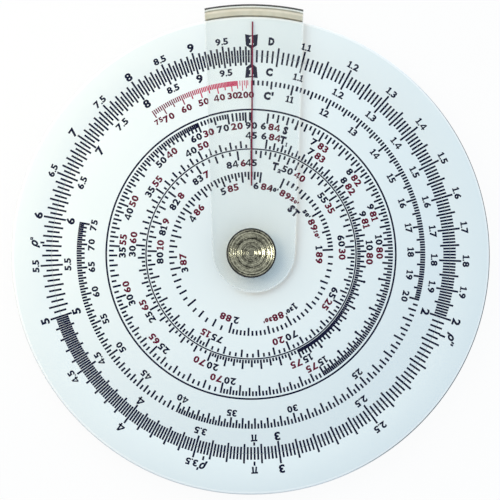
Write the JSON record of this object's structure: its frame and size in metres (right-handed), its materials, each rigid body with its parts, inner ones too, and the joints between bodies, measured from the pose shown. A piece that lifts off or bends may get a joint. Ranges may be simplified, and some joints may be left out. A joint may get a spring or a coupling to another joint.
{
  "type": "circular slide rule",
  "caption": "Circular slide rule: a base disc with a fixed scale ring, a turning scale disc inside it, and a clear double-armed cursor round the rim, held on a turned central pivot.",
  "frame": {"origin": "on the pivot axis, at the underside of the pivot's flange, which is the lowest face of the rule", "axes": "+Z along the pivot out of the scale face, +Y from the pivot towards the index marks and the cursor at rest, +X to the right as the scale face is read"},
  "size_m": [0.11, 0.1125, 0.0092],
  "materials": {
    "white_plastic": "satin white sheet with a faint blue cast",
    "clear_plastic": "polished clear sheet",
    "beige_plastic": "aged, cut edge",
    "turned_metal": "turned and dull nickel plated",
    "spring_steel": "bright rolled",
    "milky_nylon": "punched sheet",
    "slip_film": "slippery film",
    "black_ink": "printed",
    "red_ink": "printed"
  },
  "bodies": {
    "base": {"pivot_barrel": "turned_metal", "back_washer": "milky_nylon", "base_disc": "white_plastic", "scale_ring": "white_plastic", "slip_washer": "slip_film", "knob_washer": "milky_nylon", "spring_washer": "spring_steel", "knob": "turned_metal"},
    "inner_scale": {"inner_disc": "white_plastic"},
    "cursor": {"cursor_back_arm": "clear_plastic", "back_hairline": "red_ink", "back_spacer": "milky_nylon", "front_spacer": "milky_nylon", "cursor_front_arm": "clear_plastic", "front_hairline": "red_ink", "cursor_bridge": "beige_plastic"}
  },
  "joints": [
    {"name": "inner_disc_spin", "type": "hinge", "parent": "base", "child": "inner_scale", "pos_m": [0, 0, 0], "axis": [0, 0, 1], "continuous": true},
    {"name": "cursor_spin", "type": "hinge", "parent": "base", "child": "cursor", "pos_m": [0, 0, 0], "axis": [0, 0, 1], "continuous": true}
  ]
}
